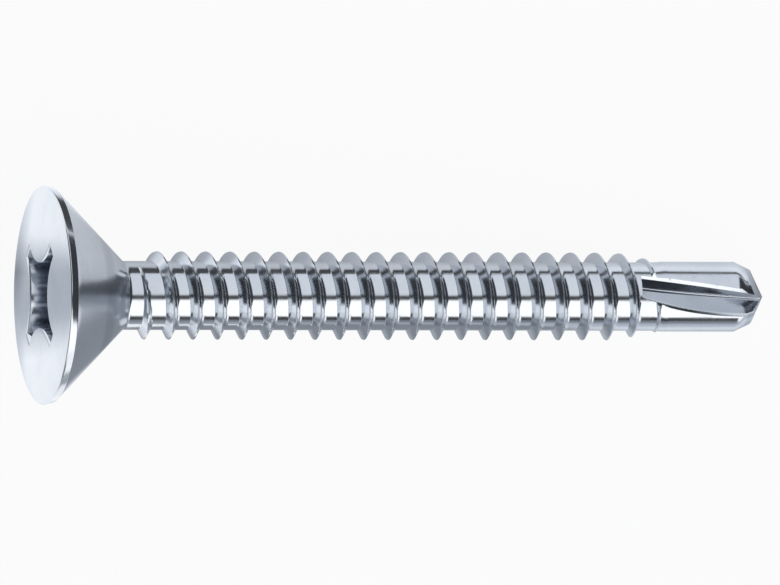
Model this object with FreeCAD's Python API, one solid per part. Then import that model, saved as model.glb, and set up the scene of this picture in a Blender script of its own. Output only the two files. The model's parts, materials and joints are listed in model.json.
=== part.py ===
import FreeCAD, Part
import math
import os
from FreeCAD import Vector

# A self drilling screw with a countersunk head and a cross recess, made in one piece.
# It is built upright along its own axis, with the head's rim plane at z = 0 and the
# drill point towards +z, and is then laid down as it comes to rest on a flat surface.
# Lengths are in millimetres and angles in degrees.

# Length along the axis
overall_length = 53.3
neck_length = 0.76
drill_length = 7.6

# Countersunk head
head_diameter = 15.5
head_edge_chamfer = 0.2
head_land_height = 0.3
countersink_angle = 90.0
underhead_fillet = 0.4

# Thread, right-handed with one start
core_diameter = 4.88
thread_diameter = 6.3
thread_pitch = 1.8
thread_flank_angle = 60.0
thread_root_cover = 0.2
thread_start_angle = -90.0
thread_run_in_turns = 0.5
thread_run_out_turns = 2.3
thread_overrun = 0.75
thread_step_angle = 7.2

# Drill point with two flutes
drill_diameter = 4.98
drill_taper_length = 0.6
point_angle = 122.0
point_corner_chamfer = 0.5
point_corner_length = 1.1
point_relief_angle = 20.0
flute_count = 2
flute_length = 9.65
flute_lead = 100.0
flute_bottom_angle = 6.0
flute_sections = 9

# A flute's opening angle and the radius of its bottom, where it starts, half way and just past the tip
flute_openings = (35.5, 45.2, 22.0)
flute_bottom_radii = (1.2, 0.76, 0.32)

# Cross recess in the head
wing_count = 4
wing_start_angle = 45.0
recess_diameter = 8.9
wing_tip_width = 1.1
wing_end_draft = 26.5
wing_depth = 3.4
well_diameter = 4.6
lobe_draft = 6.0
well_bottom_diameter = 3.4
recess_bottom_diameter = 0.8
recess_depth = 4.4

# Clearance by which a cutting body passes the surface that it cuts
cut_margin = 1.0

head_radius = head_diameter / 2
core_radius = core_diameter / 2
crest_radius = thread_diameter / 2
drill_radius = drill_diameter / 2
countersink_half = math.radians(countersink_angle / 2)
point_half = math.radians(point_angle / 2)
flank_slope = math.tan(math.radians(thread_flank_angle / 2))

cone_start = head_edge_chamfer + head_land_height
cone_end = cone_start + (head_radius - core_radius) / math.tan(countersink_half)
thread_start = cone_end + neck_length
drill_start = overall_length - drill_length
thread_end = drill_start + thread_overrun
corner_radius = drill_radius - point_corner_chamfer
corner_end = overall_length - corner_radius / math.tan(point_half)
corner_start = corner_end - point_corner_length
flute_start = overall_length - flute_length
flute_end = overall_length + cut_margin


def polar(radius, angle, z=0.0):
    """A point at a radius and an angle in degrees about the screw's axis."""
    turn = math.radians(angle)
    return Vector(radius * math.cos(turn), radius * math.sin(turn), z)


def profile_point(radius, z):
    """A point of the turned profile, which lies in the plane of the axis and +x."""
    return Vector(radius, 0, z)


def line(start, end):
    return Part.LineSegment(start, end).toShape()


def arc(start, middle, end):
    return Part.Arc(start, middle, end).toShape()


def turned_blank():
    """Head, core and drill body as one solid of revolution."""
    face_centre = profile_point(0, 0)
    face_edge = profile_point(head_radius - head_edge_chamfer, 0)
    land_top = profile_point(head_radius, head_edge_chamfer)
    land_bottom = profile_point(head_radius, cone_start)

    tangent = underhead_fillet * math.tan(countersink_half / 2)
    along_cone = Vector(math.sin(countersink_half), 0, -math.cos(countersink_half))
    fillet_start = profile_point(core_radius, cone_end) + along_cone * tangent
    fillet_end = profile_point(core_radius, cone_end + tangent)
    fillet_centre = fillet_end + Vector(underhead_fillet, 0, 0)
    towards_corner = Vector(-math.cos(countersink_half / 2), 0, -math.sin(countersink_half / 2))
    fillet_middle = fillet_centre + towards_corner * underhead_fillet

    taper_start = profile_point(core_radius, drill_start - drill_taper_length)
    taper_end = profile_point(drill_radius, drill_start)
    chamfer_start = profile_point(drill_radius, corner_start)
    chamfer_end = profile_point(corner_radius, corner_end)
    tip = profile_point(0, overall_length)

    outline = Part.Wire([
        line(face_centre, face_edge),
        line(face_edge, land_top),
        line(land_top, land_bottom),
        line(land_bottom, fillet_start),
        arc(fillet_start, fillet_middle, fillet_end),
        line(fillet_end, taper_start),
        line(taper_start, taper_end),
        line(taper_end, chamfer_start),
        line(chamfer_start, chamfer_end),
        line(chamfer_end, tip),
        line(tip, face_centre),
    ])
    return Part.Face(outline).revolve(Vector(0, 0, 0), Vector(0, 0, 1), 360)


def ridge_crest(turns, all_turns):
    """Radius of the thread's crest: it rises out of the core at one end and sinks into it at the other."""
    rise = min(1.0, turns / thread_run_in_turns)
    fall = min(1.0, (all_turns - turns) / thread_run_out_turns)
    buried = core_radius - thread_root_cover / 2
    return buried + (crest_radius - buried) * min(rise, fall)


def ridge_corners(turns, all_turns):
    """The ridge's section after a number of turns: head-side foot, crest and tip-side foot."""
    foot = core_radius - thread_root_cover
    crest = ridge_crest(turns, all_turns)
    half_foot = (crest - foot) * flank_slope
    angle = thread_start_angle + 360 * turns
    centre = thread_start + thread_pitch * turns
    return [
        polar(foot, angle, centre - half_foot),
        polar(crest, angle, centre),
        polar(foot, angle, centre + half_foot),
    ]


def ridge_rails(first, last, all_turns):
    """Three smooth curves, along the ridge's two feet and its crest, between two counts of turns."""
    steps = max(4, math.ceil((last - first) * 360 / thread_step_angle))
    counts = [first + (last - first) * i / steps for i in range(steps + 1)]
    sections = [ridge_corners(turns, all_turns) for turns in counts]
    rails = []
    for corner in range(3):
        curve = Part.BSplineCurve()
        curve.interpolate(Points=[section[corner] for section in sections], Parameters=counts)
        rails.append(curve)
    return rails


def thread_ridge():
    """The thread alone, as one solid ridge whose foot lies inside the core."""
    all_turns = (thread_end - thread_start) / thread_pitch
    full_end = all_turns - thread_run_out_turns
    faces = []
    for first, last in ((0.0, thread_run_in_turns), (thread_run_in_turns, full_end), (full_end, all_turns)):
        rails = ridge_rails(first, last, all_turns)
        stretches = math.ceil(last - first)
        for i in range(stretches):
            ends = [first + (last - first) * share / stretches for share in (i, i + 1)]
            edges = [rail.toShape(*ends) for rail in rails]
            faces += [Part.makeRuledSurface(edges[corner], edges[(corner + 1) % 3]) for corner in range(3)]
    for turns in (0.0, all_turns):
        corners = ridge_corners(turns, all_turns)
        faces.append(Part.Face(Part.makePolygon(corners + corners[:1])))
    shell = Part.makeShell(faces)
    shell.sewShape()
    solid = Part.makeSolid(Part.Shell(shell.Faces))
    if solid.Volume < 0:
        solid.reverse()
    return solid


def flute_turn(z):
    """Angle of a flute's cutting edge at a height. It is 0 at the tip."""
    return -360 * (overall_length - z) / flute_lead


def flute_value(values, z):
    """A value at a height, on the smooth curve through its three values along a flute."""
    share = (z - flute_start) / (flute_end - flute_start)
    first, middle, last = values
    rise = 4 * middle - 3 * first - last
    bend = 2 * (first + last - 2 * middle)
    return first + rise * share + bend * share ** 2


def flute_section(z):
    """A V-shaped section of a flute: a nearly radial wall to the cutting edge, and a wide one to the heel."""
    edge_angle = flute_turn(z)
    bottom = polar(flute_value(flute_bottom_radii, z), edge_angle + flute_bottom_angle, z)
    edge = polar(drill_radius, edge_angle, z)
    heel = polar(drill_radius, edge_angle + flute_value(flute_openings, z), z)
    outward = (drill_radius + cut_margin) / drill_radius
    far_edge = bottom + (edge - bottom) * outward * outward
    far_heel = bottom + (heel - bottom) * outward * outward
    return Part.makePolygon([bottom, far_edge, far_heel, bottom])


def flute_cutter():
    """The body that a flute leaves out."""
    step = (flute_end - flute_start) / (flute_sections - 1)
    sections = [flute_section(flute_start + step * i) for i in range(flute_sections)]
    return Part.makeLoft(sections, True, False)


def relief_cutter():
    """The body above the flat that falls away behind the cutting edge at angle 0."""
    size = 2 * drill_diameter
    block = Part.makeBox(2 * size, 2 * size, size, Vector(-size, -size, 0))
    block.rotate(Vector(0, 0, 0), Vector(1, 0, 0), point_relief_angle)
    block.rotate(Vector(0, 0, 0), Vector(0, 1, 0), 90 - point_angle / 2)
    block.translate(Vector(0, 0, overall_length))
    return block


def around_axis(shape, count):
    """Copies of a shape, evenly spaced about the screw's axis."""
    copies = []
    for i in range(count):
        copy = shape.copy()
        copy.rotate(Vector(0, 0, 0), Vector(0, 0, 1), 360 * i / count)
        copies.append(copy)
    return copies


def recess_cutter():
    """The body that the cross recess leaves out: a cone with four round lobes of metal left in it."""
    top = -cut_margin
    height = wing_depth - top
    end_slope = math.tan(math.radians(wing_end_draft))
    lobe_slope = math.tan(math.radians(lobe_draft))
    recess_radius = recess_diameter / 2
    well_radius = well_diameter / 2

    wing_angle = 360 / wing_count
    tip_half_angle = math.asin(wing_tip_width / 2 / recess_radius)
    gap_angle = math.radians(wing_angle / 2) - tip_half_angle
    lobe_reach = recess_radius * math.cos(gap_angle) - well_radius
    lobe_distance = (recess_radius ** 2 - well_radius ** 2) / (2 * lobe_reach)
    lobe_radius = lobe_distance - well_radius

    wings = Part.makeCone(
        recess_radius - top * end_slope, recess_radius - wing_depth * end_slope, height, Vector(0, 0, top)
    )
    lobe = Part.makeCone(
        lobe_radius + top * lobe_slope, lobe_radius + wing_depth * lobe_slope, height,
        polar(lobe_distance, wing_start_angle + wing_angle / 2, top)
    )
    bottom = Part.makeCone(
        well_bottom_diameter / 2, recess_bottom_diameter / 2, recess_depth - wing_depth,
        Vector(0, 0, wing_depth)
    )
    return wings.cut(around_axis(lobe, wing_count)).fuse(bottom)


def lay_down(shape):
    """Turn the screw on its side, resting on the head's rim and on both edges of a flute near the point."""
    opening = flute_value(flute_openings, corner_start)
    flute_middle = flute_turn(corner_start) + opening / 2
    rest_drop = head_radius - drill_radius * math.cos(math.radians(opening / 2))
    rest_tilt = math.degrees(math.atan(rest_drop / (corner_start - cone_start)))
    shape.rotate(Vector(0, 0, 0), Vector(0, 0, 1), 180 - flute_middle)
    shape.rotate(Vector(0, 0, 0), Vector(0, 1, 0), 90 + rest_tilt)
    box = shape.optimalBoundingBox(False, False)
    shape.translate(Vector(-box.Center.x, -box.Center.y, -box.ZMin))
    return shape


def screw():
    body = turned_blank().fuse(thread_ridge())
    cutters = around_axis(flute_cutter(), flute_count)
    cutters += around_axis(relief_cutter(), flute_count)
    cutters.append(recess_cutter())
    return lay_down(body.cut(cutters).Solids[0])


os.makedirs("parts", exist_ok=True)
screw().exportStep("parts/screw.step")
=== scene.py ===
import json
import math

import bmesh
import bpy
from mathutils import Matrix, Vector


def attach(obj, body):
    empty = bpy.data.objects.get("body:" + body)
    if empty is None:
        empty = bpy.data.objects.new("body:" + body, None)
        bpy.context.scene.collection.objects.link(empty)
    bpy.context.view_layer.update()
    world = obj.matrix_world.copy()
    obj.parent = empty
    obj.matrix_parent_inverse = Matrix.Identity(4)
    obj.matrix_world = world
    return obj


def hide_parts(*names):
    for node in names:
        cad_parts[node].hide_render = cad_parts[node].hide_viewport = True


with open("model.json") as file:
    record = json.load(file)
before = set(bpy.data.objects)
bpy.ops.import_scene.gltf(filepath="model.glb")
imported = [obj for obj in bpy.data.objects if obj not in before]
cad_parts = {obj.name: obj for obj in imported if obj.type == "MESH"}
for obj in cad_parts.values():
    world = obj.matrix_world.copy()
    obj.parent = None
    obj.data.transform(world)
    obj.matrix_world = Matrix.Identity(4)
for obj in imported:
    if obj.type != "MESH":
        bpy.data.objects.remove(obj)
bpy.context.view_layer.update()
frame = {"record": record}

bl_info = {
    "name": "Self drilling screw",
    "version": (1, 0, 0),
    "blender": (4, 5, 0),
    "location": "View3D > Sidebar > Screw",
    "description": "Builds a countersunk self drilling screw in bright zinc, lying on a pale floor",
    "category": "Add Mesh",
}

# The screw is built along its own axis, with the head's rim plane at z = 0 and the drill point
# towards +z, and is then laid down where the CAD solid lies. Lengths are in metres.
MM = 0.001
SCREW_NAME = "zinc_screw"
CAD_NODE = "screw"

# How finely the screw is meshed: the steps of each stretch of its outline
WING_COUNT = 4
EDGE_STEPS = 7
LAND_STEPS = 4
LAND_CORNER_STEPS = 4
CONE_STEPS = 14
FILLET_STEPS = 6
LIP_STEPS = 4
BODY_STEPS = 12
CORNER_STEPS = 4
TIP_STEPS = 8
FLUTE_STEPS = 40
FLUTE_BOTTOM_STEPS = 6
HEEL_STEPS = 4

# Where the recess' walls and the head's face have loops, as parts of the way along them
WALL_PARTS = (0.8, 0.6, 0.4, 0.2)
FACE_PARTS = (0.06, 0.16, 0.32, 0.5, 0.68, 0.84)

# The rounding between the recess' floor and its walls: its size, and how far each of its loops
# has risen from the floor and still stands in from the wall, as parts of that size
FLOOR_CORNER = 0.08 * MM
FLOOR_CORNER_LOOPS = ((0.0, 1.0), (0.3, 0.3), (1.0, 0.0))

# One in this many of a wing's columns lies at its end, and the others crowd towards the wing's
# corner. The thread's rows crowd towards the middle of its strip.
WING_END_PART = 3
LOBE_CROWDING = 1.5
ROW_CROWDING = 1.5

# How far a cutting body passes the surface that it cuts, and the radius of the last loop at the tip
CUT_MARGIN = MM
TIP_RADIUS = 0.02 * MM

# Distances for merging vertices and dropping short edges, and the degrees from which one is sharp
WELD_DISTANCE = 0.002 * MM
DOUBLE_DISTANCE = 0.001 * MM
SLIVER_LENGTH = 0.0005 * MM
SHARP_ANGLE = 32.0


def length(name, description, millimetres):
    """A property for one length."""
    return bpy.props.FloatProperty(
        name=name, description=description, default=millimetres * MM,
        min=0.0, precision=5, subtype="DISTANCE", unit="LENGTH",
    )


def angle(name, description, degrees):
    """A property for one angle."""
    return bpy.props.FloatProperty(
        name=name, description=description, default=math.radians(degrees),
        subtype="ANGLE", unit="ROTATION",
    )


def count(name, description, number):
    """A property for a whole number."""
    return bpy.props.IntProperty(name=name, description=description, default=number, min=1)


def share(name, description, value):
    """A property for a plain number from 0 up."""
    return bpy.props.FloatProperty(
        name=name, description=description, default=value, min=0.0, subtype="FACTOR",
    )


def colour(name, description, value):
    """A property for a colour."""
    return bpy.props.FloatVectorProperty(
        name=name, description=description, default=value, size=3,
        min=0.0, max=1.0, subtype="COLOR",
    )


class ScrewSizes(bpy.types.PropertyGroup):
    """Lengths along the screw, the same as the CAD solid's, and how many columns of faces go round it."""

    overall_length: length("Overall length", "From the head's rim plane to the drill tip", 53.3)
    drill_length: length("Drill length", "Plain fluted end beyond the thread", 7.6)
    neck_length: length("Neck length", "Plain shank between the head's cone and the thread", 0.76)
    columns: count("Columns", "Faces round the screw, a multiple of eight", 96)


class HeadSizes(bpy.types.PropertyGroup):
    """Sizes of the countersunk head."""

    diameter: length("Diameter", "Across the head's rim", 15.5)
    crown: length("Crown", "How far the face stands up in its middle", 0.32)
    edge_radius: length("Edge radius", "Rounding between the face and the land", 0.12)
    land_height: length("Land height", "Plain rim between the face's edge and the cone", 0.38)
    land_slope: angle("Land slope", "How far the land leans in towards the cone", 12.0)
    land_radius: length("Land corner radius", "Rounding between the land and the cone", 0.08)
    fillet: length("Fillet", "Rounding between the cone and the neck", 0.4)
    cone_angle: angle("Cone angle", "Full angle of the countersink", 90.0)


class RecessSizes(bpy.types.PropertyGroup):
    """Sizes of the cross recess."""

    start_angle: angle("Start angle", "Direction of the first wing", 45.0)
    diameter: length("Diameter", "Across the tips of two wings", 8.9)
    tip_width: length("Tip width", "Width of a wing at its tip", 1.1)
    wing_depth: length("Wing depth", "From the rim plane to the wings' floor", 3.4)
    end_draft: angle("End draft", "Slope of a wing's end", 26.5)
    well_diameter: length("Well diameter", "Between two opposite lobes at the rim plane", 4.6)
    lobe_draft: angle("Lobe draft", "Slope of the lobes between the wings", 6.0)
    well_bottom: length("Well bottom diameter", "Top of the cone in the middle of the floor", 3.4)
    bottom: length("Bottom diameter", "Flat at the very bottom", 0.8)
    depth: length("Depth", "From the rim plane to the very bottom", 4.4)
    lip: length("Lip", "Rounding where the recess meets the face", 0.14)


class ThreadSizes(bpy.types.PropertyGroup):
    """Sizes of the rolled thread."""

    core_diameter: length("Core diameter", "At the bottom of the thread", 4.88)
    diameter: length("Diameter", "Over the crests", 6.3)
    pitch: length("Pitch", "From one crest to the next", 1.8)
    flank_angle: angle("Flank angle", "Full angle between two flanks", 60.0)
    start_angle: angle("Start angle", "Direction in which the ridge starts", -90.0)
    run_in: share("Run in", "Turns over which the ridge rises", 0.5)
    run_out: share("Run out", "Turns over which the ridge sinks", 2.3)
    overrun: length("Overrun", "How far the ridge goes on inside the drill body", 0.75)
    cover: length("Cover", "How far the ridge starts below the core's surface", 0.1)
    crest_radius: length("Crest rounding", "How far the crest is rounded", 0.1)
    root_radius: length("Root rounding", "How far the root is rounded", 0.04)
    rows: count("Rows", "Faces from one root to the next", 24)


class PointSizes(bpy.types.PropertyGroup):
    """Sizes of the drill point."""

    diameter: length("Diameter", "Across the drill body", 4.98)
    taper: length("Taper", "Length over which the core widens to the drill body", 0.6)
    angle: angle("Point angle", "Full angle of the point", 122.0)
    chamfer: length("Corner chamfer", "How far the point's corner is ground inwards", 0.5)
    corner_length: length("Corner length", "How far the point's corner is ground along the axis", 1.1)
    relief: angle("Relief angle", "Slope behind a cutting edge", 20.0)
    flutes: count("Flutes", "Number of flutes", 2)
    flute_length: length("Flute length", "From the tip to where a flute starts", 9.65)
    flute_lead: length("Flute lead", "Length in which a flute makes a whole turn", 100.0)
    opening_start: angle("Opening at start", "From the cutting edge to the heel where a flute starts", 35.5)
    opening_middle: angle("Opening half way", "From the cutting edge to the heel half way", 45.2)
    opening_end: angle("Opening at end", "From the cutting edge to the heel just past the tip", 22.0)
    bottom_start: length("Bottom at start", "From the axis to a flute's bottom where it starts", 1.2)
    bottom_middle: length("Bottom half way", "From the axis to a flute's bottom half way", 0.76)
    bottom_end: length("Bottom at end", "From the axis to a flute's bottom just past the tip", 0.32)
    bottom_angle: angle("Bottom angle", "From the cutting edge to a flute's bottom", 6.0)
    bottom_radius: length("Bottom radius", "Rounding at a flute's bottom", 0.12)
    heel_radius: length("Heel radius", "Rounding of the heel", 0.28)
    margin: length("Margin", "Width of the facet along the cutting edge", 0.3)
    margin_tilt: angle("Margin tilt", "Slope of that facet from the drill body's surface", 45.0)


class ZincLooks(bpy.types.PropertyGroup):
    """Finish of the screw, and the colour of the shade painted into its recess and flutes."""

    colour: colour("Colour", "Colour of the zinc", (0.69, 0.72, 0.76))
    dull_colour: colour("Dull colour", "Colour of the zinc where it has dulled", (0.56, 0.60, 0.66))
    # Colour of the painted shade, towards which the zinc is darkened in the recess and the flutes
    deep_colour: colour("Deep colour", "Colour of the zinc down in the recess", (0.30, 0.33, 0.38))
    roughness: share("Roughness", "Roughness of the bright zinc", 0.13)
    dull_roughness: share("Dull roughness", "Roughness of the dulled zinc", 0.26)
    edge_rounding: length("Edge rounding", "Rounding of the cut edges", 0.025)


class StudioLooks(bpy.types.PropertyGroup):
    """Floor, light and camera."""

    floor_colour: colour("Floor colour", "Colour of the floor", (0.93, 0.93, 0.94))
    floor_glow: share("Floor glow", "How far the floor shows as plain white to the camera", 0.93)
    floor_sheen: share("Floor sheen", "How far the floor shows its own light to metal", 0.85)
    sky_strength: share("Sky strength", "Strength of the soft boxes round the screw", 1.0)


class Link:
    """One socket of a node. Arithmetic on it adds Math nodes."""

    def __init__(self, graph, socket):
        self.graph = graph
        self.socket = socket

    def __add__(self, other):
        return self.graph.math("ADD", self, other)

    def __radd__(self, other):
        return self.graph.math("ADD", other, self)

    def __sub__(self, other):
        return self.graph.math("SUBTRACT", self, other)

    def __rsub__(self, other):
        return self.graph.math("SUBTRACT", other, self)

    def __mul__(self, other):
        return self.graph.math("MULTIPLY", self, other)

    def __rmul__(self, other):
        return self.graph.math("MULTIPLY", other, self)

    def __truediv__(self, other):
        return self.graph.math("DIVIDE", self, other)

    def __rtruediv__(self, other):
        return self.graph.math("DIVIDE", other, self)

    def __pow__(self, other):
        return self.graph.math("POWER", self, other)

    def __rpow__(self, other):
        return self.graph.math("POWER", other, self)

    def __abs__(self):
        return self.graph.math("ABSOLUTE", self)


# Places of the colour sockets among those of a Mix node, whose names repeat
MIX_FACTOR = 0
MIX_FIRST = 6
MIX_SECOND = 7
MIX_RESULT = 2


class Graph:
    """Adds nodes to one node tree."""

    def __init__(self, tree):
        self.tree = tree
        tree.nodes.clear()

    def node(self, kind, settings=None, inputs=None, output=0):
        """Adds one node, with its settings first and then the values or links of its sockets.

        A list of links goes into a socket that takes several.
        """
        made = self.tree.nodes.new(kind)
        for name, value in (settings or {}).items():
            if name == "stops":
                self.set_stops(made.color_ramp, value)
            else:
                setattr(made, name, value)
        for name, value in (inputs or {}).items():
            values = value if isinstance(value, list) else [value]
            for one in values:
                if isinstance(one, Link):
                    self.tree.links.new(one.socket, made.inputs[name])
                else:
                    made.inputs[name].default_value = one
        return Link(self, made.outputs[output]) if made.outputs else made

    def set_stops(self, ramp, stops):
        """Gives a ramp its stops, each a place from 0 to 1 and a colour."""
        while len(ramp.elements) < len(stops):
            ramp.elements.new(1.0)
        for element, (place, shade) in zip(ramp.elements, stops):
            element.position = place
            element.color = shade

    def math(self, operation, *values):
        return self.node("ShaderNodeMath", {"operation": operation}, dict(enumerate(values)))

    def clamp(self, value):
        return self.node("ShaderNodeClamp", {}, {"Value": value, "Min": 0.0, "Max": 1.0})

    def fade(self, value, start, width):
        """Rises from 0 at the start to 1 a width further on. A negative width lies on the other side."""
        return self.clamp((value - start) / width)

    def within(self, value, ends, width):
        """1 between two ends, with a fade just inside each."""
        return self.fade(value, ends[0], width) * self.fade(value, ends[1], -width)

    def vector(self, operation, *values, output=0):
        return self.node("ShaderNodeVectorMath", {"operation": operation}, dict(enumerate(values)), output)

    def combine(self, x, y, z):
        return self.node("ShaderNodeCombineXYZ", {}, {"X": x, "Y": y, "Z": z})

    def outputs(self, kind, names, inputs=None):
        """Adds one node and gives several of its outputs by name."""
        made = self.node(kind, {}, inputs).socket.node
        return [Link(self, made.outputs[name]) for name in names]

    def parts(self, vector):
        """The three numbers of a vector."""
        return self.outputs("ShaderNodeSeparateXYZ", "XYZ", {"Vector": vector})

    def noise(self, vector, scale, detail, roughness):
        return self.node(
            "ShaderNodeTexNoise", {},
            {"Vector": vector, "Scale": scale, "Detail": detail, "Roughness": roughness},
        )

    def ramp(self, value, low, high, levels):
        """The colour at a value, from levels that each give a value from low to high and its colour."""
        stops = [((place - low) / (high - low), shade) for place, shade in levels]
        return self.node("ShaderNodeValToRGB", {"stops": stops}, {"Fac": (value - low) / (high - low)})

    def mix_colour(self, factor, first, second):
        return self.node(
            "ShaderNodeMix", {"data_type": "RGBA"},
            {MIX_FACTOR: factor, MIX_FIRST: first, MIX_SECOND: second}, MIX_RESULT,
        )

    def mix_value(self, factor, first, second):
        return first + factor * (second - first)


def opaque(shade):
    """A colour with its alpha."""
    return (*shade, 1.0)


class Shape:
    """Levels and radii along the screw's axis, worked out from the sizes."""

    def __init__(self, scene):
        self.screw = scene.screw_sizes
        self.head = scene.head_sizes
        self.recess = scene.recess_sizes
        self.thread = scene.thread_sizes
        self.point = point = scene.point_sizes
        self.head_radius = self.head.diameter / 2
        self.core_radius = self.thread.core_diameter / 2
        self.crest_radius = self.thread.diameter / 2
        self.drill_radius = point.diameter / 2
        self.cone_half = self.head.cone_angle / 2
        self.point_half = point.angle / 2
        self.cone_start = self.head.edge_radius + self.head.land_height
        self.cone_end = self.cone_start + (self.head_radius - self.core_radius) / math.tan(self.cone_half)
        self.neck_start = self.cone_end + self.head.fillet * math.tan(self.cone_half / 2)
        self.thread_start = self.cone_end + self.screw.neck_length
        self.drill_start = self.screw.overall_length - self.screw.drill_length
        self.thread_end = self.drill_start + self.thread.overrun
        self.wound_turns = math.ceil((self.thread_end - self.neck_start) / self.thread.pitch) - 1
        self.wound_end = self.neck_start + (self.wound_turns + 1) * self.thread.pitch
        self.corner_radius = self.drill_radius - point.chamfer
        self.corner_end = self.screw.overall_length - self.corner_radius / math.tan(self.point_half)
        self.corner_start = self.corner_end - point.corner_length
        self.flute_start = self.screw.overall_length - point.flute_length
        self.flute_end = self.screw.overall_length + CUT_MARGIN
        self.openings = (point.opening_start, point.opening_middle, point.opening_end)
        self.bottoms = (point.bottom_start, point.bottom_middle, point.bottom_end)

    def column_turns(self):
        """Directions of the columns of faces, evenly spaced round the axis."""
        columns = self.screw.columns
        return [self.recess.start_angle + math.tau * i / columns for i in range(columns)]

    def flute_turn(self, z):
        """Angle of a flute's cutting edge at a height: none at the tip."""
        return -math.tau * (self.screw.overall_length - z) / self.point.flute_lead

    def flute_value(self, values, z):
        """A value at a height, on the smooth curve through its three values along a flute."""
        part = (z - self.flute_start) / (self.flute_end - self.flute_start)
        first, middle, last = values
        rise = 4 * middle - 3 * first - last
        bend = 2 * (first + last - 2 * middle)
        return first + rise * part + bend * part ** 2

    def resting(self):
        """Turn about the axis that sets the edges of a flute on the floor, and the axis' own dip."""
        opening = self.flute_value(self.openings, self.corner_start)
        middle = self.flute_turn(self.corner_start) + opening / 2
        drop = self.head_radius - self.drill_radius * math.cos(opening / 2)
        dip = math.atan(drop / (self.corner_start - self.cone_start))
        return math.pi - middle, dip

    def place(self):
        """The matrix that lays the screw where the CAD solid lies."""
        roll, dip = self.resting()
        laid = Matrix.Rotation(math.pi / 2 + dip, 4, "Y") @ Matrix.Rotation(roll, 4, "Z")
        mount = next(m for m in frame["record"]["mounts"] if m["name"] == "drill_body")
        middle = (self.drill_start + self.corner_start) / 2
        start = Vector(mount["pos_m"]) - laid.to_3x3() @ Vector((0, 0, middle))
        return Matrix.Translation(start) @ laid


def polar(radius, turn, z):
    """A point at a radius and a direction about the screw's axis."""
    return Vector((radius * math.cos(turn), radius * math.sin(turn), z))


def arc_points(centre, radius, start, end, steps):
    """Points of an arc in the profile's plane, as (radius, z)."""
    turns = [start + (end - start) * i / steps for i in range(steps + 1)]
    return [(centre[0] + radius * math.cos(t), centre[1] + radius * math.sin(t)) for t in turns]


def line_points(start, end, steps):
    """Points between two points of the profile, without the two."""
    shares = [i / steps for i in range(1, steps)]
    return [(start[0] + (end[0] - start[0]) * s, start[1] + (end[1] - start[1]) * s) for s in shares]


def face_height(shape, radius):
    """Height of the crowned face, which is negative because the face looks towards -z."""
    edge = shape.head_radius - shape.head.edge_radius
    return -shape.head.crown * max(0.0, 1 - (radius / edge) ** 2)


def recess_loop(shape, z, widening=0.0):
    """Outline of the cross recess at a depth, as a radius and a direction for each column."""
    recess = shape.recess
    rim = recess.diameter / 2
    well = recess.well_diameter / 2
    wing_turn = math.tau / WING_COUNT
    tip_half = math.asin(recess.tip_width / 2 / rim)
    reach = rim * math.cos(wing_turn / 2 - tip_half) - well
    distance = (rim ** 2 - well ** 2) / (2 * reach)
    lobe = distance - well + z * math.tan(recess.lobe_draft) - widening
    end = rim - z * math.tan(recess.end_draft) + widening
    corner = wing_turn / 2 - math.acos((distance ** 2 + end ** 2 - lobe ** 2) / (2 * distance * end))
    columns = shape.screw.columns // WING_COUNT
    half = columns // 2
    end_columns = half // WING_END_PART
    loop = []
    for i in range(WING_COUNT * columns):
        wing, step = divmod(i + half, columns)
        step -= half
        side = -1 if step < 0 else 1
        steps = abs(step)
        if steps <= end_columns:
            off = corner * steps / end_columns
            radius = end
        else:
            part = (steps - end_columns) / (half - end_columns)
            off = corner + (wing_turn / 2 - corner) * part ** LOBE_CROWDING
            aside = wing_turn / 2 - off
            radius = distance * math.cos(aside) - math.sqrt(lobe ** 2 - (distance * math.sin(aside)) ** 2)
        loop.append((radius, recess.start_angle + wing * wing_turn + side * off))
    return loop


def recess_rows(shape):
    """Loops from the bottom of the recess up to its lip."""
    recess = shape.recess
    bottom = recess.bottom / 2
    floor = recess.well_bottom / 2
    rows = []
    for radius in (bottom, floor / 2, floor):
        rise = (recess.depth - recess.wing_depth) * (radius - bottom) / (floor - bottom)
        loop = recess_loop(shape, recess.wing_depth)
        rows.append([(radius, turn, recess.depth - rise) for _, turn in loop])
    for risen, inset in FLOOR_CORNER_LOOPS:
        level = recess.wing_depth - FLOOR_CORNER * risen
        loop = recess_loop(shape, level, -FLOOR_CORNER * inset)
        rows.append([(radius, turn, level) for radius, turn in loop])
    for part in WALL_PARTS:
        level = recess.wing_depth * part
        rows.append([(radius, turn, level) for radius, turn in recess_loop(shape, level)])
    for step in range(LIP_STEPS + 1):
        turn_in = math.pi / 2 * step / LIP_STEPS
        below = recess.lip * (1 - math.sin(turn_in))
        loop = recess_loop(shape, below, recess.lip * (1 - math.cos(turn_in)))
        rows.append([(radius, turn, face_height(shape, radius) + below) for radius, turn in loop])
    return rows


def head_profile(shape):
    """The head's profile from its face's edge to the neck, as (radius, z)."""
    head = shape.head
    edge = head.edge_radius
    outer = shape.head_radius
    slope = head.land_slope
    cone_normal = math.pi / 2 - shape.cone_half
    points = arc_points((outer - edge, edge), edge, -math.pi / 2, slope, EDGE_STEPS)

    land_radius, land_z = points[-1]
    lean = math.tan(slope)
    corner_z = (outer + shape.cone_start - land_radius - land_z * lean) / (1 - lean)
    corner = (outer - corner_z + shape.cone_start, corner_z)
    half = (cone_normal - slope) / 2
    reach = head.land_radius / math.cos(half)
    middle = slope + half
    centre = (corner[0] - reach * math.cos(middle), corner[1] - reach * math.sin(middle))
    land_corner = arc_points(centre, head.land_radius, slope, cone_normal, LAND_CORNER_STEPS)
    points += line_points(points[-1], land_corner[0], LAND_STEPS) + land_corner

    centre = (shape.core_radius + head.fillet, shape.neck_start)
    fillet = arc_points(centre, head.fillet, cone_normal - math.pi, -math.pi, FILLET_STEPS)
    return points + line_points(points[-1], fillet[0], CONE_STEPS) + fillet


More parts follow.
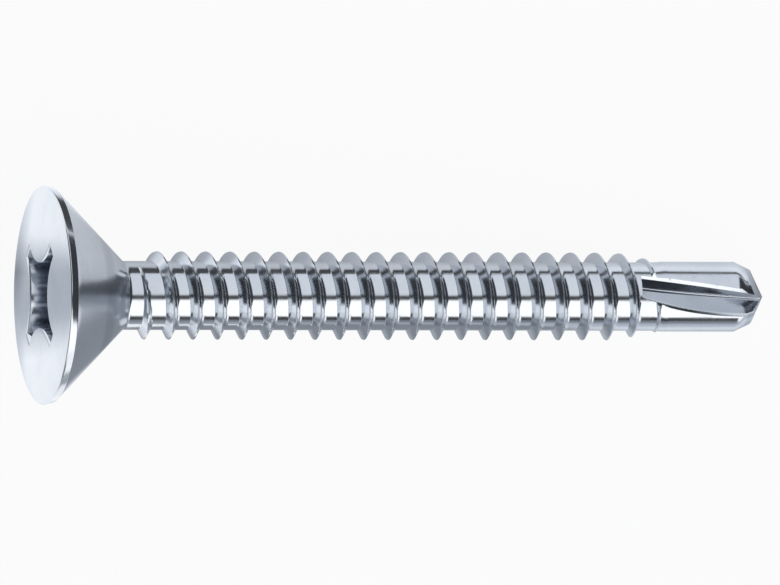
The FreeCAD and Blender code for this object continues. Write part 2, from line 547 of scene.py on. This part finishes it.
def head_rows(shape):
    """Loops from the bottom of the recess over its lip, the face and the cone to the neck."""
    inner = recess_rows(shape)
    rim = inner[-1]
    outer = shape.head_radius - shape.head.edge_radius
    turns = shape.column_turns()
    face = []
    for part in FACE_PARTS:
        row = []
        for (radius, turn, _), even in zip(rim, turns):
            spread = radius + (outer - radius) * part
            row.append((spread, turn + (even - turn) * part, face_height(shape, spread)))
        face.append(row)
    sides = [[(radius, even, z) for even in turns] for radius, z in head_profile(shape)]
    return inner + face + sides


def drill_rows(shape):
    """Loops from the end of the wound thread to the drill tip."""
    start = (shape.drill_radius, shape.wound_end)
    body_end = (shape.drill_radius, shape.corner_start)
    corner = (shape.corner_radius, shape.corner_end)
    tip = (TIP_RADIUS, shape.screw.overall_length - TIP_RADIUS / math.tan(shape.point_half))
    profile = [start, *line_points(start, body_end, BODY_STEPS)]
    profile += [body_end, *line_points(body_end, corner, CORNER_STEPS)]
    profile += [corner, *line_points(corner, tip, TIP_STEPS), tip]
    turns = shape.column_turns()
    return [[(radius, turn, z) for turn in turns] for radius, z in profile]


def join_loops(mesh, loops):
    """Joins neighbouring loops of vertices with faces."""
    columns = len(loops[0])
    for lower, upper in zip(loops, loops[1:]):
        for i in range(columns):
            k = (i + 1) % columns
            mesh.faces.new((lower[i], lower[k], upper[k], upper[i]))


def skin(mesh, rows, start_pole=None, end_pole=None):
    """Covers loops with faces, and closes the ends that have a pole."""
    loops = [[mesh.verts.new(polar(*point)) for point in row] for row in rows]
    join_loops(mesh, loops)
    for loop, pole in ((loops[0], start_pole), (loops[-1], end_pole)):
        if pole is not None:
            centre = mesh.verts.new((0.0, 0.0, pole))
            for vertex, following in zip(loop, loop[1:] + loop[:1]):
                mesh.faces.new((vertex, centre, following))


def new_object(name, data):
    made = bpy.data.objects.new(name, data)
    bpy.context.scene.collection.objects.link(made)
    return made


def object_from(mesh, name):
    """A new object from a mesh under construction, which is freed."""
    made = bpy.data.meshes.new(name)
    mesh.to_mesh(made)
    mesh.free()
    return new_object(name, made)


def plain_copy(source, name):
    """The evaluated object as a new object with a plain mesh. The source is removed."""
    graph = bpy.context.evaluated_depsgraph_get()
    graph.update()
    mesh = bpy.data.meshes.new_from_object(source.evaluated_get(graph))
    mesh.name = name
    remove(source)
    return new_object(name, mesh)


def remove(made):
    mesh = made.data
    bpy.data.objects.remove(made)
    bpy.data.meshes.remove(mesh)


def ends_object(shape):
    """Head with its recess and drill end, open where the thread joins them."""
    mesh = bmesh.new()
    skin(mesh, head_rows(shape), start_pole=shape.recess.depth)
    skin(mesh, drill_rows(shape), end_pole=shape.screw.overall_length)
    return object_from(mesh, "screw_ends")


# Sockets of the thread's node tree, by the kinds of the values that they take
SOCKET_KINDS = {
    float: "NodeSocketFloat", int: "NodeSocketInt", bpy.types.Material: "NodeSocketMaterial",
}


def thread_tree(values):
    """Node tree that winds the thread between the two ends of the screw and closes its mesh.

    It has an input for each of the named values. A grid is wrapped round the axis as one long
    strip, as wide as the pitch, so that its rows follow the helix. Its first and last turns narrow
    to nothing, so that both ends are level.
    """
    tree = bpy.data.node_groups.new("Wind the thread", "GeometryNodeTree")
    tree.interface.new_socket("Geometry", in_out="INPUT", socket_type="NodeSocketGeometry")
    for name, value in values.items():
        tree.interface.new_socket(name, in_out="INPUT", socket_type=SOCKET_KINDS[type(value)])
    tree.interface.new_socket("Geometry", in_out="OUTPUT", socket_type="NodeSocketGeometry")
    graph = Graph(tree)
    group = graph.node("NodeGroupInput").socket.node
    given = {output.name: Link(graph, output) for output in group.outputs if output.name}
    pitch = given["Pitch"]
    core = given["Core Radius"]
    wound = given["Wound Turns"]

    grid = graph.node("GeometryNodeMeshGrid", {}, {
        "Size X": 1.0,
        "Size Y": 1.0,
        "Vertices X": (wound + 2) * given["Columns"] + 1,
        "Vertices Y": given["Rows"] + 1,
    })
    x, y, _ = graph.parts(graph.node("GeometryNodeInputPosition"))
    turn = (x + 0.5) * (wound + 2) - 1
    across = y * 2
    crowded = graph.math("SIGN", across) * abs(across) ** ROW_CROWDING
    width = graph.math("MINIMUM", graph.math("MINIMUM", turn + 1, 1.0), wound + 1 - turn)
    z = given["Neck Start"] + pitch * (graph.math("MAXIMUM", turn, 0.0) + width * (crowded + 1) / 2)

    wrapped = turn + (given["Seam Angle"] - given["Start Angle"]) / math.tau
    level = (z - given["Thread Start"]) / pitch
    ridge_turn = wrapped + graph.math("ROUND", level - wrapped)
    off = abs(level - ridge_turn) * pitch
    all_turns = (given["Thread End"] - given["Thread Start"]) / pitch
    rise = graph.clamp(ridge_turn / given["Run In"])
    fall = graph.clamp((all_turns - ridge_turn) / given["Run Out"])
    buried = core - given["Cover"]
    crest = buried + (given["Crest Radius"] - buried) * graph.math("MINIMUM", rise, fall)
    rounding = given["Crest Rounding"]
    flank = crest + rounding / 2 - off / given["Flank Slope"]
    ridge = graph.math("SMOOTH_MIN", crest, flank, rounding)
    widened = graph.clamp((z - given["Drill Start"] + given["Taper"]) / given["Taper"])
    base = core + (given["Drill Radius"] - core) * widened
    radius = graph.math("SMOOTH_MAX", base, ridge, given["Root Rounding"])

    direction = given["Seam Angle"] + turn * math.tau
    place = graph.combine(
        radius * graph.math("COSINE", direction), radius * graph.math("SINE", direction), z
    )
    strip = graph.node("GeometryNodeSetPosition", {}, {"Geometry": grid, "Position": place})
    joined = graph.node("GeometryNodeJoinGeometry", {}, {"Geometry": [given["Geometry"], strip]})
    merged = graph.node("GeometryNodeMergeByDistance", {}, {
        "Geometry": joined, "Distance": given["Merge Distance"],
    })
    real = graph.node("GeometryNodeRealizeInstances", {}, {"Geometry": merged})
    plated = graph.node("GeometryNodeSetMaterial", {}, {"Geometry": real, "Material": given["Material"]})
    graph.node("NodeGroupOutput", {}, {"Geometry": plated})
    return tree


def wind_thread(shape, ends, material):
    """Adds the thread between the two ends, and returns the closed screw as a plain mesh."""
    thread = shape.thread
    values = {
        "Core Radius": shape.core_radius,
        "Drill Radius": shape.drill_radius,
        "Crest Radius": shape.crest_radius,
        "Cover": thread.cover,
        "Pitch": thread.pitch,
        "Flank Slope": math.tan(thread.flank_angle / 2),
        "Crest Rounding": thread.crest_radius,
        "Root Rounding": thread.root_radius,
        "Neck Start": shape.neck_start,
        "Thread Start": shape.thread_start,
        "Thread End": shape.thread_end,
        "Drill Start": shape.drill_start,
        "Taper": shape.point.taper,
        "Start Angle": thread.start_angle,
        "Seam Angle": shape.recess.start_angle,
        "Run In": thread.run_in,
        "Run Out": thread.run_out,
        "Wound Turns": shape.wound_turns,
        "Columns": shape.screw.columns,
        "Rows": thread.rows,
        "Merge Distance": WELD_DISTANCE,
        "Material": material,
    }
    tree = thread_tree(values)
    modifier = ends.modifiers.new("Wind the thread", "NODES")
    modifier.node_group = tree
    for item in tree.interface.items_tree:
        if item.in_out == "INPUT" and item.name in values:
            modifier[item.identifier] = values[item.name]
    wound = plain_copy(ends, "wound_screw")
    bpy.data.node_groups.remove(tree)
    return wound


def rounded(before, corner, after, radius, steps):
    """Points of the arc that rounds the corner between two straight lines, in the plane of the section."""
    back = (before - corner).normalized()
    onward = (after - corner).normalized()
    half = back.angle(onward) / 2
    middle = (back + onward).normalized()
    centre = corner + middle * radius / math.sin(half)
    side = (back - onward).normalized()
    swings = [(math.pi / 2 - half) * (1 - 2 * i / steps) for i in range(steps + 1)]
    return [centre + (side * math.sin(swing) - middle * math.cos(swing)) * radius for swing in swings]


def flute_section(shape, z):
    """The section that a flute leaves out: a facet at the cutting edge, a V and a rounded heel."""
    point = shape.point
    turn = shape.flute_turn(z)
    heel_turn = turn + shape.flute_value(shape.openings, z)
    bottom = polar(shape.flute_value(shape.bottoms, z), turn + point.bottom_angle, 0.0)
    edge = polar(shape.drill_radius, turn, 0.0)
    heel = polar(shape.drill_radius, heel_turn, 0.0)
    tangent = polar(1.0, turn - math.pi / 2, 0.0)
    outward = polar(1.0, turn, 0.0)
    facet = tangent * math.cos(point.margin_tilt) + outward * math.sin(point.margin_tilt)
    wall = (bottom - edge).normalized()
    facet_end = edge + wall * point.margin * math.sin(point.margin_tilt)
    land = heel + polar(1.0, heel_turn + math.pi / 2, 0.0)
    heel_arc = rounded(bottom, heel, land, point.heel_radius, HEEL_STEPS)
    points = [facet_end + facet * 2 * CUT_MARGIN, facet_end]
    points += rounded(edge, bottom, heel, point.bottom_radius, FLUTE_BOTTOM_STEPS)
    points += heel_arc
    points.append(heel_arc[-1] + polar(CUT_MARGIN, heel_turn, 0.0))
    return [(p.x, p.y, z) for p in points]


def add_flute(mesh, shape, turn):
    """Adds the body that one flute leaves out."""
    span = shape.flute_end - shape.flute_start
    levels = [shape.flute_start + span * i / FLUTE_STEPS for i in range(FLUTE_STEPS + 1)]
    loops = [[mesh.verts.new(point) for point in flute_section(shape, z)] for z in levels]
    join_loops(mesh, loops)
    mesh.faces.new(loops[0])
    mesh.faces.new(loops[-1])
    vertices = [vertex for loop in loops for vertex in loop]
    bmesh.ops.rotate(mesh, verts=vertices, cent=(0, 0, 0), matrix=Matrix.Rotation(turn, 3, "Z"))


def add_relief(mesh, shape, turn):
    """Adds the body above the flat that falls away behind one cutting edge."""
    size = 4 * shape.point.diameter
    slope = Matrix.Rotation(math.pi / 2 - shape.point_half, 4, "Y")
    relief = Matrix.Rotation(shape.point.relief, 4, "X")
    tip = Matrix.Translation((0, 0, shape.screw.overall_length))
    above = Matrix.Translation((0, 0, size / 2))
    place = Matrix.Rotation(turn, 4, "Z") @ tip @ (slope @ relief)
    bmesh.ops.create_cube(mesh, size=size, matrix=place @ above)


def split_large_faces(mesh):
    """Splits the faces that have more than four corners into triangles."""
    bmesh.ops.triangulate(mesh, faces=[face for face in mesh.faces if len(face.verts) > 4])


def cutter(name, shape, parts):
    """One cutting body, made of parts that each take the mesh, the sizes and a turn."""
    mesh = bmesh.new()
    for add_part, turn in parts:
        add_part(mesh, shape, turn)
    split_large_faces(mesh)
    bmesh.ops.recalc_face_normals(mesh, faces=mesh.faces)
    return object_from(mesh, name)


def grind_point(shape, blank):
    """Grinds the point of the closed screw, and then both its flutes."""
    turns = [math.tau * i / shape.point.flutes for i in range(shape.point.flutes)]
    cutters = [cutter("relief_cutter", shape, [(add_relief, turn)]) for turn in turns]
    cutters.append(cutter("flute_cutter", shape, [(add_flute, turn) for turn in turns]))
    for body in cutters:
        cut = blank.modifiers.new("Cut", "BOOLEAN")
        cut.operation = "DIFFERENCE"
        cut.solver = "EXACT"
        cut.object = body
    ground = plain_copy(blank, SCREW_NAME)
    for body in cutters:
        remove(body)
    return ground


def tidy_mesh(made, material):
    """Merges stray doubles, lays the normals outward and shades everything but real edges smoothly."""
    mesh = bmesh.new()
    mesh.from_mesh(made.data)
    bmesh.ops.remove_doubles(mesh, verts=mesh.verts, dist=DOUBLE_DISTANCE)
    bmesh.ops.dissolve_degenerate(mesh, edges=mesh.edges, dist=SLIVER_LENGTH)
    split_large_faces(mesh)
    bmesh.ops.recalc_face_normals(mesh, faces=mesh.faces)
    if mesh.calc_volume(signed=True) < 0:
        bmesh.ops.reverse_faces(mesh, faces=mesh.faces)
    for face in mesh.faces:
        face.smooth = True
        face.material_index = 0
    mesh.to_mesh(made.data)
    mesh.free()
    made.data.materials.clear()
    made.data.materials.append(material)
    made.data.set_sharp_from_angle(angle=math.radians(SHARP_ANGLE))


# Noises of the zinc, each as its scale to the millimetre, its detail and its roughness
PATCH_NOISE = (0.35, 3.0, 0.55)
GRAIN_NOISE = (9.0, 3.0, 0.6)
STREAK_NOISE = (1.0, 3.0, 0.6)
SPECK_NOISE = (3.1, 2.0, 0.5)
STREAKS_TO_MM = 7.0

# Where the zinc is dulled or worn, as the noise's level there and how steeply it sets in
DULL_LEVEL = 0.42
DULL_STEEPNESS = 2.4
WORN_LEVEL = 0.62
WORN_STEEPNESS = 7

# Where the recess and the flutes lie: parts of the recess' diameter and the drill body's radius,
# a depth, and the lengths over which they set in
RECESS_PART = 0.55
RECESS_REACH = 4.6 * MM
FLUTE_PART = 0.92
FLUTE_BLUR = 0.1 * MM
FLUTE_START_BLUR = 0.3 * MM

# How much each of them dulls the zinc or darkens it. In the recess the dulling is rougher zinc and a darker
# colour, the darker colour being painted shade,
# # and the darkening of the recess and the flutes is painted shade.
DULLED_SHARE = 0.55
RECESS_DULL_AND_SHADE_SHARE = 0.5
WORN_SHARE = 0.4
RECESS_PAINTED_SHADE_SHARE = 0.75
FLUTE_PAINTED_SHADE_SHARE = 0.45

# Shares of grain, streaks and patches in the bump, its strength and height, the streaks' share in
# the roughness, and the samples for a rounded edge
GRAIN_RELIEF = 0.25
STREAK_RELIEF = 0.5
PATCH_RELIEF = 0.6
BUMP_STRENGTH = 0.10
BUMP_HEIGHT = 0.02 * MM
STREAK_ROUGHNESS = 0.05
EDGE_SAMPLES = 6


def zinc_material(shape, looks):
    """Bright zinc: rolled streaks round the shank and cone, fine grain, dulled patches and worn specks,
    with painted shade in the recess and the flutes.
    """
    material = bpy.data.materials.new("bright zinc")
    material.use_nodes = True
    graph = Graph(material.node_tree)
    place = shape.place()
    coordinates = graph.node("ShaderNodeTexCoord", output="Object")
    local = graph.vector("SUBTRACT", coordinates, tuple(place.translation))
    axes = [tuple(place.to_3x3().col[i]) for i in range(3)]
    x, y, z = [graph.vector("DOT_PRODUCT", local, axis, output="Value") for axis in axes]
    radius = graph.math("SQRT", x * x + y * y)
    turn = graph.math("ARCTAN2", y, x)
    millimetres = graph.combine(x / MM, y / MM, z / MM)
    along = (z + radius) / MM * STREAKS_TO_MM
    wound = graph.combine(along, graph.math("COSINE", turn), graph.math("SINE", turn))

    patches = graph.noise(millimetres, *PATCH_NOISE)
    grain = graph.noise(millimetres, *GRAIN_NOISE)
    streaks = graph.noise(wound, *STREAK_NOISE)
    specks = graph.noise(millimetres, *SPECK_NOISE)

    dulled = graph.clamp((patches - DULL_LEVEL) * DULL_STEEPNESS)
    worn = graph.clamp((specks - WORN_LEVEL) * WORN_STEEPNESS)
    in_recess = graph.fade(radius, shape.recess.diameter * RECESS_PART, -MM)
    in_recess = in_recess * graph.fade(z, RECESS_REACH, -MM)
    deep = in_recess * graph.fade(z, 0.0, MM)
    # Inside the flutes the zinc is darkened with painted shade
    in_flute = graph.fade(radius, shape.drill_radius * FLUTE_PART, -FLUTE_BLUR)
    in_flute = in_flute * graph.fade(z, shape.flute_start, FLUTE_START_BLUR)

    # Dulled patches and worn specks are the zinc's own; in the recess the dulling also darkens the colour,
    # as painted shade
    dull = graph.clamp(dulled * DULLED_SHARE + deep * RECESS_DULL_AND_SHADE_SHARE + worn * WORN_SHARE)
    plain = graph.mix_colour(dull, opaque(looks.colour), opaque(looks.dull_colour))
    # Painted shade: the recess and the flutes are darkened towards the painted shade colour
    dark = graph.clamp(deep * RECESS_PAINTED_SHADE_SHARE + in_flute * FLUTE_PAINTED_SHADE_SHARE)
    colour_with_painted_shade = graph.mix_colour(dark, plain, opaque(looks.deep_colour))
    rough = graph.mix_value(dull, looks.roughness, looks.dull_roughness)
    rough = rough + (streaks - 0.5) * STREAK_ROUGHNESS

    relief = grain * GRAIN_RELIEF + streaks * STREAK_RELIEF + patches * PATCH_RELIEF
    softened = graph.node("ShaderNodeBevel", {"samples": EDGE_SAMPLES}, {"Radius": looks.edge_rounding})
    bump = graph.node("ShaderNodeBump", {}, {
        "Strength": BUMP_STRENGTH, "Distance": BUMP_HEIGHT, "Height": relief, "Normal": softened,
    })
    surface = graph.node("ShaderNodeBsdfPrincipled", {}, {
        "Base Color": colour_with_painted_shade, "Metallic": 1.0, "Roughness": rough, "Normal": bump,
    })
    graph.node("ShaderNodeOutputMaterial", {}, {"Surface": surface})
    return material


def grey(level, blue=0.0):
    """A grey with a touch of blue, as a colour with its alpha."""
    return (level * (1 - blue), level * (1 - blue * 0.35), level * (1 + blue * 0.6), 1.0)


WHITE = grey(1.0)


# The floor's glow as metal sees it, in millimetres along x and y: painted reflections of light and shade,
# shown to glossy rays only.
# # Its light follows y, and the whole of it is lighter or darker along x. The low level in the middle is a
# painted shadow under the shank,
# # and the black stretch from 18 to 44 is a painted dark band.
FLOOR_REACH = 120.0
PAINTED_REFLECTION_ACROSS = (
    (-120.0, grey(0.40, 0.10)), (-30.0, grey(0.55, 0.12)), (-16.0, grey(0.60, 0.12)),
    (-9.0, grey(0.85, 0.06)), (-4.0, grey(0.52, 0.12)), (0.0, grey(0.28, 0.14)), (3.0, grey(0.65, 0.08)),
    (8.0, grey(0.95, 0.06)), (15.5, grey(0.88, 0.06)), (18.0, grey(0.0)), (44.0, grey(0.0)),
    (52.0, grey(0.85, 0.06)), (120.0, grey(0.85, 0.08)),
)
PAINTED_REFLECTION_ALONG = (
    (-120.0, grey(1.3)), (-23.0, grey(1.3)), (-19.0, grey(0.8)), (-12.0, grey(0.8)), (12.0, grey(0.9)),
    (19.0, grey(1.25)), (120.0, grey(1.25)),
)

# A painted dark patch towards -Y in the floor's glow, a painted reflection of shade which that side of the
# shank shows
PATCH_ALONG = (-19.5, 16.0)
PATCH_ACROSS = (-40.0, -4.5)
PATCH_BLUR = 2.5
PAINTED_SHADE_PATCH_LEVEL = grey(0.30, 0.14)

# A painted wedge of light and shade in the floor's glow on each side of the head, light towards -Y and dark
# towards +Y, a painted reflection.
# # Its edge slants outwards and towards the tip. It starts at one distance from the middle, and ends at
# these, towards -Y
# # and towards +Y.
WEDGE_SLOPE = 0.75
WEDGE_EDGE = -26.0
WEDGE_START = 12.0
WEDGE_ENDS = (45.0, 160.0)
WEDGE_BLUR = 3.0
PAINTED_WEDGE_LEVELS = (grey(1.3), grey(0.0))

# Beyond the head the floor glows as a light card with a greyer stripe, a painted reflection which the
# head's face shows.
# # Its levels follow y as the floor's do.
CARD_EDGE = -27.2
CARD_BLUR = 0.8
PAINTED_CARD_LEVELS = (
    (-120.0, grey(1.15, 0.03)), (-6.5, grey(1.15, 0.03)), (-3.5, grey(0.60, 0.10)), (0.5, grey(0.60, 0.10)),
    (3.0, grey(1.15, 0.03)), (120.0, grey(1.15, 0.03)),
)


def floor_material(looks):
    """A pale floor, nearly white to the camera, that glows to metal with painted reflections of light and
    shade, and keeps the screw's shadow.
    """
    material = bpy.data.materials.new("pale floor")
    material.use_nodes = True
    graph = Graph(material.node_tree)
    camera, glossy, through = graph.outputs(
        "ShaderNodeLightPath", ("Is Camera Ray", "Is Glossy Ray", "Is Transmission Ray")
    )
    metal = graph.clamp(glossy + through)
    x, y, _ = graph.parts(graph.node("ShaderNodeTexCoord", output="Object"))
    x, y = x / MM, y / MM
    off_middle = abs(y)
    plus_y = graph.clamp(y)

    # The glow that metal sees is painted reflection: painted light and shade along x and y, a painted dark
    # patch, painted wedges and a painted light card
    along = graph.ramp(x, -FLOOR_REACH, FLOOR_REACH, PAINTED_REFLECTION_ALONG)
    across = graph.ramp(y, -FLOOR_REACH, FLOOR_REACH, PAINTED_REFLECTION_ACROSS)
    lit = graph.vector("MULTIPLY", along, across)
    shade_patch = graph.within(x, PATCH_ALONG, PATCH_BLUR) * graph.within(y, PATCH_ACROSS, PATCH_BLUR)
    lit = graph.mix_colour(shade_patch, lit, PAINTED_SHADE_PATCH_LEVEL)
    wedge_ends = (WEDGE_START, graph.mix_value(plus_y, *WEDGE_ENDS))
    wedge = graph.fade(x, off_middle * WEDGE_SLOPE + WEDGE_EDGE, -WEDGE_BLUR)
    wedge = wedge * graph.within(off_middle, wedge_ends, WEDGE_BLUR)
    lit = graph.mix_colour(wedge, lit, graph.mix_colour(plus_y, *PAINTED_WEDGE_LEVELS))
    card = graph.fade(x, CARD_EDGE, -CARD_BLUR)
    lit = graph.mix_colour(card, lit, graph.ramp(y, -FLOOR_REACH, FLOOR_REACH, PAINTED_CARD_LEVELS))

    light = graph.mix_colour(metal, WHITE, lit)
    sheen = graph.mix_value(card, looks.floor_sheen, 1.0)
    part = graph.clamp(camera * looks.floor_glow + metal * sheen)
    matt = graph.node("ShaderNodeBsdfDiffuse", {}, {"Color": opaque(looks.floor_colour)})
    glow = graph.node("ShaderNodeEmission", {}, {"Color": light, "Strength": 1.0})
    mixed = graph.node("ShaderNodeMixShader", {}, {0: part, 1: matt, 2: glow})
    graph.node("ShaderNodeOutputMaterial", {}, {"Surface": mixed})
    return material


# Soft boxes and the gaps between them, as (degrees from overhead towards +Y, colour)
SOFT_BOXES = (
    (-180.0, grey(0.4, 0.1)), (-81.0, grey(0.32, 0.12)), (-77.0, grey(0.05)), (-65.0, grey(0.05)),
    (-61.0, grey(1.5)), (-5.0, grey(1.5)), (1.0, grey(0.06)), (11.0, grey(0.06)),
    (17.0, grey(0.95, 0.05)), (88.0, grey(0.90, 0.08)), (180.0, grey(0.9, 0.08)),
)

# The studio is dark towards the tip and dull towards the head, where its level is one towards -Y
# and another towards +Y. Places are parts of a direction of length 1. Towards -Y the dark at the
# tip draws back, by the lean times y.
GAP_BLUR = 0.06
TIP_GAP = 0.46
TIP_GAP_LEAN = 0.9
TIP_GAP_LEVEL = grey(0.05, 0.1)
HEAD_GAP = -0.05
HEAD_GAP_SIDE = 0.25
HEAD_GAP_LEVELS = (grey(0.45, 0.1), grey(0.14, 0.1))

# A light card low down towards -Y and the tip
LOW_CARD = 0.42
LOW_CARD_SIDE = -0.5
LOW_CARD_TOP = 0.4
LOW_CARD_LEVEL = grey(1.3)


def studio_world(looks):
    """A studio of soft boxes above and beside the screw, dark towards its tip and dull towards its head."""
    world = bpy.data.worlds.new("studio")
    world.use_nodes = True
    bpy.context.scene.world = world
    graph = Graph(world.node_tree)
    x, y, z = graph.parts(graph.node("ShaderNodeTexCoord", output="Generated"))
    overhead = graph.math("DEGREES", graph.math("ARCTAN2", y, z))
    lit = graph.ramp(overhead, -180.0, 180.0, SOFT_BOXES)

    past_head = graph.fade(x, HEAD_GAP + GAP_BLUR / 2, -GAP_BLUR)
    head_side = graph.fade(y, -HEAD_GAP_SIDE / 2, HEAD_GAP_SIDE)
    lit = graph.mix_colour(past_head, lit, graph.mix_colour(head_side, *HEAD_GAP_LEVELS))
    low_card = graph.fade(x, LOW_CARD, GAP_BLUR) * graph.fade(y, LOW_CARD_SIDE, -GAP_BLUR)
    low_card = low_card * graph.fade(z, LOW_CARD_TOP, -GAP_BLUR)
    lit = graph.mix_colour(low_card, lit, LOW_CARD_LEVEL)
    drawn_back = x + graph.math("MINIMUM", y, 0.0) * TIP_GAP_LEAN
    past_tip = graph.fade(drawn_back, TIP_GAP - GAP_BLUR / 2, GAP_BLUR)
    lit = graph.mix_colour(past_tip, lit, TIP_GAP_LEVEL)

    [camera] = graph.outputs("ShaderNodeLightPath", ("Is Camera Ray",))
    shown = graph.mix_colour(camera, lit, WHITE)
    background = graph.node("ShaderNodeBackground", {}, {"Color": shown, "Strength": looks.sky_strength})
    graph.node("ShaderNodeOutputWorld", {}, {"Surface": background})


# From the floor's middle to its edges, in metres
FLOOR_HALF = 3.0


def build_floor(looks):
    """A flat square floor under the screw."""
    mesh = bpy.data.meshes.new("floor")
    corners = [(-1, -1), (1, -1), (1, 1), (-1, 1)]
    mesh.from_pydata([(x * FLOOR_HALF, y * FLOOR_HALF, 0) for x, y in corners], [], [(0, 1, 2, 3)])
    floor = new_object("floor", mesh)
    mesh.materials.append(floor_material(looks))


# The camera: how far it stands off square to the screw, towards the head, and its lens
CAMERA_SWING = 16.13
CAMERA_LENS = 1000.0
CLIP_PARTS = (0.1, 10.0)

# The photograph's frame: its width and its scale in pixels, the point in its middle, in
# millimetres from the rim plane and above the axis, and its lean in radians
IMAGE_WIDTH = 780
PIXELS_TO_MM = 14.07
CENTRE_ALONG = 25.62
CENTRE_ABOVE = 0.25
IMAGE_LEAN = 0.0023


def place_camera(shape):
    """A long lens that sees the screw as the photograph does, with the drill point to the right."""
    place = shape.place()
    turned = place.to_3x3()
    along = turned @ Vector((0, 0, 1))
    near = turned @ Vector((1, 0, 0))
    above = turned @ Vector((0, -1, 0))
    swing = math.radians(CAMERA_SWING)
    back = near * math.cos(swing) - along * math.sin(swing)
    right = along * math.cos(swing) + near * math.sin(swing)
    leaning_right = right * math.cos(IMAGE_LEAN) + above * math.sin(IMAGE_LEAN)
    leaning_up = above * math.cos(IMAGE_LEAN) - right * math.sin(IMAGE_LEAN)
    data = bpy.data.cameras.new("camera")
    data.lens = CAMERA_LENS
    distance = IMAGE_WIDTH / PIXELS_TO_MM * MM * data.lens / data.sensor_width
    data.clip_start, data.clip_end = [distance * part for part in CLIP_PARTS]
    target = place @ Vector((0, -CENTRE_ABOVE * MM, CENTRE_ALONG * MM))
    camera = new_object("camera", data)
    facing = Matrix((leaning_right, leaning_up, back)).transposed().to_4x4()
    camera.matrix_world = Matrix.Translation(target + back * distance) @ facing
    bpy.context.scene.camera = camera


class SCREW_OT_build(bpy.types.Operator):
    """Build the screw: head, cross recess, wound thread, fluted point and zinc"""

    bl_idname = "screw.build"
    bl_label = "Build the screw"

    def execute(self, context):
        scene = context.scene
        shape = Shape(scene)
        material = zinc_material(shape, scene.zinc_looks)
        wound = wind_thread(shape, ends_object(shape), material)
        screw = grind_point(shape, wound)
        tidy_mesh(screw, material)
        screw.data.transform(shape.place())
        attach(screw, "root")
        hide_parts(CAD_NODE)
        return {"FINISHED"}


class SCREW_OT_stage(bpy.types.Operator):
    """Set up the pale floor, the soft studio light and the camera"""

    bl_idname = "screw.stage"
    bl_label = "Set the stage"

    def execute(self, context):
        scene = context.scene
        build_floor(scene.studio_looks)
        studio_world(scene.studio_looks)
        place_camera(Shape(scene))
        scene.view_settings.view_transform = "Standard"
        return {"FINISHED"}


class SCREW_PT_panel(bpy.types.Panel):
    """Sizes and looks of the screw, and the steps that build it"""

    bl_idname = "SCREW_PT_panel"
    bl_label = "Self drilling screw"
    bl_space_type = "VIEW_3D"
    bl_region_type = "UI"
    bl_category = "Screw"

    def draw(self, context):
        for name in SETTINGS:
            group = getattr(context.scene, name)
            box = self.layout.box()
            box.label(text=name.replace("_", " ").capitalize())
            for key in group.__annotations__:
                box.prop(group, key)
        self.layout.operator(SCREW_OT_build.bl_idname)
        self.layout.operator(SCREW_OT_stage.bl_idname)


SETTINGS = {
    "screw_sizes": ScrewSizes,
    "head_sizes": HeadSizes,
    "recess_sizes": RecessSizes,
    "thread_sizes": ThreadSizes,
    "point_sizes": PointSizes,
    "zinc_looks": ZincLooks,
    "studio_looks": StudioLooks,
}
CLASSES = (*SETTINGS.values(), SCREW_OT_build, SCREW_OT_stage, SCREW_PT_panel)


def register():
    for kind in CLASSES:
        bpy.utils.register_class(kind)
    for name, kind in SETTINGS.items():
        setattr(bpy.types.Scene, name, bpy.props.PointerProperty(type=kind))


def unregister():
    for name in SETTINGS:
        delattr(bpy.types.Scene, name)
    for kind in reversed(CLASSES):
        bpy.utils.unregister_class(kind)


def main():
    register()
    bpy.ops.screw.build()
    bpy.ops.screw.stage()


if __name__ == "__main__":
    main()
